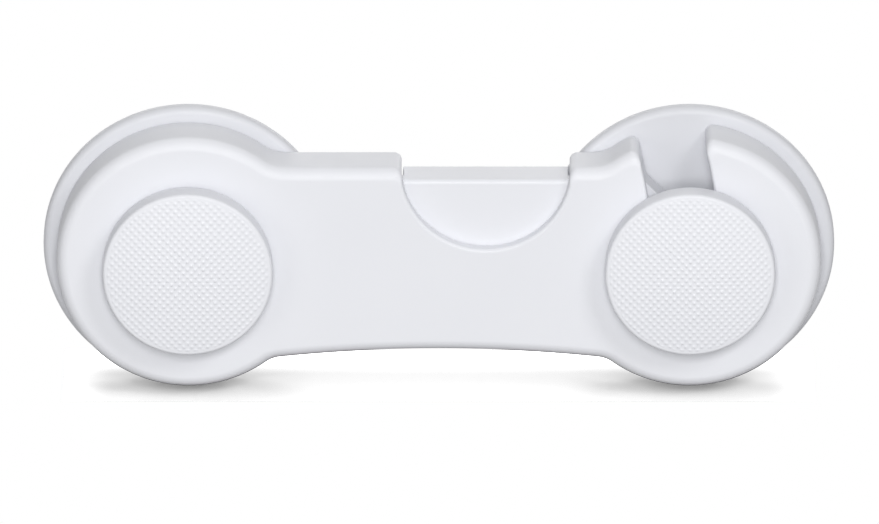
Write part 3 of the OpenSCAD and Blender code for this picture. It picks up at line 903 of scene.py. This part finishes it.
def square_tube(inside, outside, length):
    return [(inside, 0), (outside, 0), (outside, length), (inside, length), (inside, 0)]


def quarter_turn(axis, sense):
    return Matrix.Rotation(sense * math.pi / 2, 4, axis)


peg = eased_rod(PEG_R, PEG_L, PEG_EASE)
button_peg = Matrix.Translation((BUTTON_SPRING_X, BUTTON_PEG_TIP, SPRING_DEPTH))
latch_peg = Matrix.Translation((LATCH_PEG_TIP, LATCH_SPRING_Y, SPRING_DEPTH))
add_turned(bm, peg, button_peg @ quarter_turn("X", 1))
add_turned(bm, peg, latch_peg @ quarter_turn("Y", -1))
for spot in SCREW_SPOTS:
    sleeve = square_tube(SLEEVE_IN_R, SLEEVE_OUT_R, SLEEVE_L)
    add_turned(bm, sleeve, Matrix.Translation((*spot, WAY_BACK)))
print(f"2 pegs and {len(SCREW_SPOTS)} screw sleeves on {len(bm.faces)} faces")

# %% [markdown]
# ## Hand over the bar
# The bar is one mesh with its fittings. Weighted Normal keeps the large flat faces flat while the
# rounded edges shade smoothly, so the narrow strips of the rounding don't pull the light across the face.

# %% Bar
mark_folds(bm)
bar = make_piece(bm, "bar_front", STAND_UP, body_plastic, "bar", "bar_shell")
bar.modifiers.new("flat_faces", "WEIGHTED_NORMAL").keep_sharp = True

# %% [markdown]
# ## Thumb button
# The button fills the half-moon window from behind and has a full-depth ledge on top for the thumb.
# In side view it is an L with one rounded corner, so that profile is drawn and extruded along the
# bar. All its sharp edges are then eased with one bevel, as the real button's are.

# %% Thumb button
BUTTON_LEFT = 25.5
BUTTON_W = 19.6
APRON_LOW = 0.35
APRON_BACK = 6.5
BUTTON_FRONT = 8.0
LEDGE_TOP = 10.05
LEDGE_LOW = 8.05
LEDGE_BACK = 2.95
LEDGE_R = 0.55
BUTTON_EASE = 0.14

bm = bmesh.new()
side = Pen(bm, APRON_LOW, APRON_BACK)
side.line(APRON_LOW, BUTTON_FRONT)
side.line(LEDGE_TOP - LEDGE_R, BUTTON_FRONT)
side.arc(LEDGE_TOP - LEDGE_R, BUTTON_FRONT - LEDGE_R, -90, 0.1)
side.line(LEDGE_TOP, LEDGE_BACK)
side.line(LEDGE_LOW, LEDGE_BACK)
side.line(LEDGE_LOW, APRON_BACK)
extrude_by(bm, [bm.faces.new(side.trail)], BUTTON_W)
bmesh.ops.recalc_face_normals(bm, faces=bm.faces)
folds = [edge for edge in bm.edges if edge.calc_face_angle(0) > FOLD]
bmesh.ops.bevel(
    bm,
    geom=folds,
    offset=BUTTON_EASE,
    offset_type="OFFSET",
    affect="EDGES",
    segments=3,
    profile=0.5,
    material=-1,
    clamp_overlap=True,
)
lay_along = Matrix(((0, 0, 1, BUTTON_LEFT), (1, 0, 0, 0), (0, 1, 0, 0), (0, 0, 0, 1)))
bmesh.ops.transform(bm, matrix=lay_along, verts=bm.verts)
print(f"button with {len(folds)} eased edges")

# %% [markdown]
# ## Works behind the button
# Two wings guide and stop the button, a foot with a peg rests on the spring, and the cam pin draws the
# latch aside when the button goes down. They sit out of sight, so blocks and turned rods are enough.

# %% Works of the button
SUNK = 0.05
INNER_FRONT = BUTTON_FRONT - SUNK
WING_LEFTS = (23.4, 44.9)
WING_W = 2.3
WING_LOW = 7.45
WING_HIGH = 10.15
WING_BACK = 6.55
FOOT_HALF = 1.6
FOOT_LOW = -0.9
FOOT_HIGH = 1.4
FOOT_PEG_TIP = -2.2
PIN_R = 1.25
PIN_L = 2.9
PIN_EASE = 0.15
PIN_SPOT = (41.1, 1.66, GUIDE_BACK)
for x in WING_LEFTS:
    block(bm, (x, WING_LOW, WING_BACK), (x + WING_W, WING_HIGH, INNER_FRONT))
foot_low = (BUTTON_SPRING_X - FOOT_HALF, FOOT_LOW, SPRING_DEPTH - FOOT_HALF)
foot_high = (BUTTON_SPRING_X + FOOT_HALF, FOOT_HIGH, INNER_FRONT)
block(bm, foot_low, foot_high)
foot_peg = Matrix.Translation((BUTTON_SPRING_X, FOOT_PEG_TIP, SPRING_DEPTH))
add_turned(bm, peg, foot_peg @ quarter_turn("X", -1))
add_turned(bm, eased_rod(PIN_R, PIN_L, PIN_EASE), Matrix.Translation(PIN_SPOT))
mark_folds(bm)
button = make_piece(bm, "thumb_button", STAND_UP, grip_plastic, "button", "release_button")
button.modifiers.new("flat_faces", "WEIGHTED_NORMAL").keep_sharp = True

# %% [markdown]
# ## Two coil springs
# A coil spring is a small circle spun about the axis while it climbs, and spin does both at once. The
# first and last coil lie flat, as on a real ground spring, and the coils between carry the climb.

# %% Springs
WIRE_R = 0.175
COIL_R = 1.425
SPRING_L = 8.5
COIL_STEPS = 28
WIRE_SIDES = 10
LIVE_COILS = 4
FLAT_RISE = 2.1 * WIRE_R
BUTTON_SPRING_FOOT = -9.4


def coil_spring(name, place, node):
    bm = bmesh.new()
    stand = Matrix.Translation((COIL_R, 0, WIRE_R)) @ quarter_turn("X", 1)
    bmesh.ops.create_circle(bm, cap_ends=True, segments=WIRE_SIDES, radius=WIRE_R, matrix=stand)
    geom = list(bm.verts) + list(bm.edges) + list(bm.faces)
    climb = SPRING_L - 2 * WIRE_R - 2 * FLAT_RISE
    for turns, rise in ((1, FLAT_RISE), (LIVE_COILS, climb), (1, FLAT_RISE)):
        steps = turns * COIL_STEPS
        geom = bmesh.ops.spin(
            bm,
            geom=geom,
            cent=(0, 0, 0),
            axis=(0, 0, 1),
            dvec=(0, 0, rise / steps),
            angle=math.tau * turns,
            steps=steps,
        )["geom_last"]
    bmesh.ops.recalc_face_normals(bm, faces=bm.faces)
    mark_folds(bm)
    spring = make_piece(bm, name, place, steel, "bar", node)
    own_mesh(spring)


button_foot = Vector((BUTTON_SPRING_X, -SPRING_DEPTH, BUTTON_SPRING_FOOT))
latch_seat = Vector((LATCH_SEAT[1][0], -SPRING_DEPTH, LATCH_SPRING_Y))
coil_spring(
    "button_coil",
    SCALE @ Matrix.Translation(button_foot),
    "button_spring",
)
coil_spring(
    "latch_coil",
    SCALE @ Matrix.Translation(latch_seat) @ quarter_turn("Y", 1),
    "latch_spring",
)

# %% [markdown]
# ## Solids that stay
# The rear cover, the latch and the screws already have their real shape in the solid model. They stay as
# they are and only get the finishes made above.

# %% Finishes for the solids that stay
KEPT = {
    "bar_rear_cover": body_plastic,
    # The latch tongue gets the darker white of the bases, which is painted shade.
    "latch_bolt": painted_shade_plastic,
    "cover_screws": steel,
    "pivot_cap_screw": steel,
    "catch_cap_screw": steel,
}
for node, material in KEPT.items():
    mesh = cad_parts[node].data
    mesh.materials.clear()
    mesh.materials.append(material)
print("kept:", ", ".join(KEPT))

# %% [markdown]
# ## White floor
# The lock stands on a small sheet of paper. Only its soft shadow should show, so the sheet is a shadow
# catcher: it takes the shadow and leaves everything else as white as the world. The pools of shadow lie
# under the two bases and are gone a few millimetres away, so the sheet turns partly clear there, and the
# white behind it lifts what is left of the shadow. It is small because the open bar hangs below it.

# %% Helpers for the paper
def fade(tree, value, full_at, gone_at, least):
    """One up to full_at and the least from gone_at on, both in millimetres, smooth between."""
    node = tree.nodes.new("ShaderNodeMapRange")
    node.interpolation_type = "SMOOTHSTEP"
    node.inputs["From Min"].default_value = full_at * MM
    node.inputs["From Max"].default_value = gone_at * MM
    node.inputs["To Min"].default_value = 1
    node.inputs["To Max"].default_value = least
    tree.links.new(value, node.inputs["Value"])
    return node.outputs["Result"]


def calculate(tree, operation, first, second=None):
    """A Math node on one socket and, if given, a number or a second socket."""
    node = tree.nodes.new("ShaderNodeMath")
    node.operation = operation
    tree.links.new(first, node.inputs[0])
    if isinstance(second, float):
        node.inputs[1].default_value = second
    elif second:
        tree.links.new(second, node.inputs[1])
    return node.outputs["Value"]


print("fade and calculate are ready")

# %% [markdown]
# ## Paper that fades
# The shadow has to fade in four directions: between the bases, outside them, in front and behind. Each
# fade reads one distance from the Object coordinates, and their product is how solid the paper is.

# %% Paper
PAPER = (0.35, 0.35, 0.35, 1)
PAPER_ROUGH = 0.9
PART_CLEAR = 0.9
CLEAR_BEHIND = 0.5
CLEAR_BETWEEN = 0.97
SHADE_ROUND_POST = (9, 16)
SHADE_OUTSIDE = (9, 14)
SHADE_IN_FRONT = (3.5, 9.5)
SHADE_BEHIND = (0, 8)


def fading_paper(name):
    made, tree, shader, place = start_material(name)
    shader.inputs["Base Color"].default_value = PAPER
    shader.inputs["Roughness"].default_value = PAPER_ROUGH
    axes = tree.nodes.new("ShaderNodeSeparateXYZ")
    tree.links.new(place, axes.inputs["Vector"])
    from_middle = calculate(tree, "SUBTRACT", axes.outputs["X"], half * MM)
    past_post = calculate(tree, "SUBTRACT", calculate(tree, "ABSOLUTE", from_middle), half * MM)
    from_post = calculate(tree, "ABSOLUTE", past_post)
    forward = calculate(tree, "MULTIPLY", axes.outputs["Y"], -1.0)
    cover = fade(tree, from_post, *SHADE_ROUND_POST, CLEAR_BETWEEN)
    for way, limits, least in (
        (past_post, SHADE_OUTSIDE, PART_CLEAR),
        (forward, SHADE_IN_FRONT, PART_CLEAR),
        (axes.outputs["Y"], SHADE_BEHIND, CLEAR_BEHIND),
    ):
        cover = calculate(tree, "MULTIPLY", cover, fade(tree, way, *limits, least))
    tree.links.new(cover, shader.inputs["Alpha"])
    return made


paper = fading_paper("white_paper")
print("floor finish:", paper.name)

# %% [markdown]
# ## The sheet
# A grid of one face, put at the lowest point of the solid model, is enough for the sheet.

# %% Sheet
SHEET_OVER = 15
SHEET_IN_FRONT = 9.5
SHEET_BEHIND = 9
SHEET_GAP = 0.02
floor_z = cad_box[0].z / MM - SHEET_GAP
sheet_size = Matrix.Diagonal((half + SHEET_OVER, (SHEET_IN_FRONT + SHEET_BEHIND) / 2, 1, 1))
sheet_spot = Matrix.Translation((half, (SHEET_BEHIND - SHEET_IN_FRONT) / 2, floor_z))
bm = bmesh.new()
bmesh.ops.create_grid(bm, x_segments=1, y_segments=1, size=1, matrix=SCALE @ sheet_spot @ sheet_size)
sheet = bpy.data.meshes.new("floor")
bm.to_mesh(sheet)
bm.free()
sheet.materials.append(paper)
floor = bpy.data.objects.new("floor", sheet)
bpy.context.collection.objects.link(floor)
floor.is_shadow_catcher = True
floor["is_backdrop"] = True
print(f"floor at {floor_z:.2f} mm")

# %% [markdown]
# ## White world
# A dim white world fills the shadows. The camera, mirror-like rays and rays through clear things see a
# plain white one instead, so the background is white without more light on the lock.

# %% World
FILL_LEVEL = 0.26
WHITE_LIGHT = (1, 1, 1, 1)
scene = bpy.context.scene
world = bpy.data.worlds.new("studio")
scene.world = world
world.use_nodes = True
tree = world.node_tree
fill = tree.nodes["Background"]
fill.inputs["Color"].default_value = WHITE_LIGHT
fill.inputs["Strength"].default_value = FILL_LEVEL
white = tree.nodes.new("ShaderNodeBackground")
white.inputs["Color"].default_value = WHITE_LIGHT
white.inputs["Strength"].default_value = 1.0
rays = tree.nodes.new("ShaderNodeLightPath")
seen = tree.nodes.new("ShaderNodeMixShader")
bright = rays.outputs["Is Camera Ray"]
for ray in ("Is Glossy Ray", "Is Transmission Ray"):
    bright = calculate(tree, "MAXIMUM", bright, rays.outputs[ray])
tree.links.new(bright, seen.inputs["Fac"])
tree.links.new(fill.outputs["Background"], seen.inputs[1])
tree.links.new(white.outputs["Background"], seen.inputs[2])
tree.links.new(seen.outputs["Shader"], tree.nodes["World Output"].inputs["Surface"])
print("world fills at", FILL_LEVEL)

# %% [markdown]
# ## Studio lamps
# The tones of the lock tell where the light comes from: front faces are brightest, top faces a little
# darker, sides darker still, and every rounded upper edge shines. A strip in front and a little above
# gives the front its tone, a lamp at the upper right and a weak one at the left shape the sides, a high
# lamp behind throws the short shadow forwards, and a low one lights the back for views from there.

# %% Lamps
LAMP_DISTANCE = 1.4
LAMP_AIM = Vector((half, -6, 0)) * MM


def soft_lamp(name, aside, above, width, height, level):
    """Lamp so many degrees aside and above the front, as bright face on as a world of that level."""
    lamp = bpy.data.lights.new(name, "AREA")
    lamp.shape = "RECTANGLE"
    lamp.size = width
    lamp.size_y = height
    lamp.energy = level * math.pi**2 * LAMP_DISTANCE**2
    holder = bpy.data.objects.new(name, lamp)
    bpy.context.collection.objects.link(holder)
    turn, lift = math.radians(aside), math.radians(above)
    out = Vector((math.cos(lift) * math.sin(turn), -math.cos(lift) * math.cos(turn), math.sin(lift)))
    holder.location = LAMP_AIM + out * LAMP_DISTANCE
    holder.rotation_euler = out.to_track_quat("Z", "Y").to_euler()
    print(f"{name}: {lamp.energy:.2f} W")


soft_lamp("front_strip", aside=0, above=21, width=0.32, height=0.6, level=0.59)
soft_lamp("upper_right", aside=34, above=36, width=0.4, height=0.4, level=0.20)
soft_lamp("low_left", aside=-40, above=6, width=0.6, height=0.6, level=0.08)
soft_lamp("behind_high", aside=180, above=50, width=0.8, height=0.8, level=0.17)
soft_lamp("behind_low", aside=180, above=3, width=1.0, height=0.5, level=0.32)

# %% [markdown]
# ## Camera
# The picture was taken from straight in front and a little above, with a long lens: the ends of the bar
# show no perspective. So the camera sits far away along a line 19.2 degrees above the horizon, with a
# lens that makes the frame 104.2 mm wide at the lock.

# %% Camera
ELEVATION = math.radians(19.2)
FRAME_W = 104.22 * MM
LENS = 800
SENSOR = 36
CAMERA_AIM = Vector((29.82, -8.68, 0)) * MM
out = Vector((0, -math.cos(ELEVATION), math.sin(ELEVATION)))
camera = bpy.data.objects.new("camera", bpy.data.cameras.new("camera"))
bpy.context.collection.objects.link(camera)
camera.data.lens = LENS
camera.data.sensor_width = SENSOR
camera.location = CAMERA_AIM + out * (FRAME_W * LENS / SENSOR)
camera.rotation_euler = out.to_track_quat("Z", "Y").to_euler()
scene.camera = camera
scene.view_settings.view_transform = "Standard"
print(f"camera {camera.location.length:.2f} m away")

# %% [markdown]
# ## Sizes
# The box of the dressed model is set against the box of the solid model, and how far the dressed model
# stands in front of the solids is printed. The dressed model has to stay inside the box of the solid
# model.

# %% Finish
dressed_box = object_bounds()
proud = (cad_box[0].y - dressed_box[0].y) / MM
print(f"the dressed model stands {proud:.2f} mm in front of the solids")
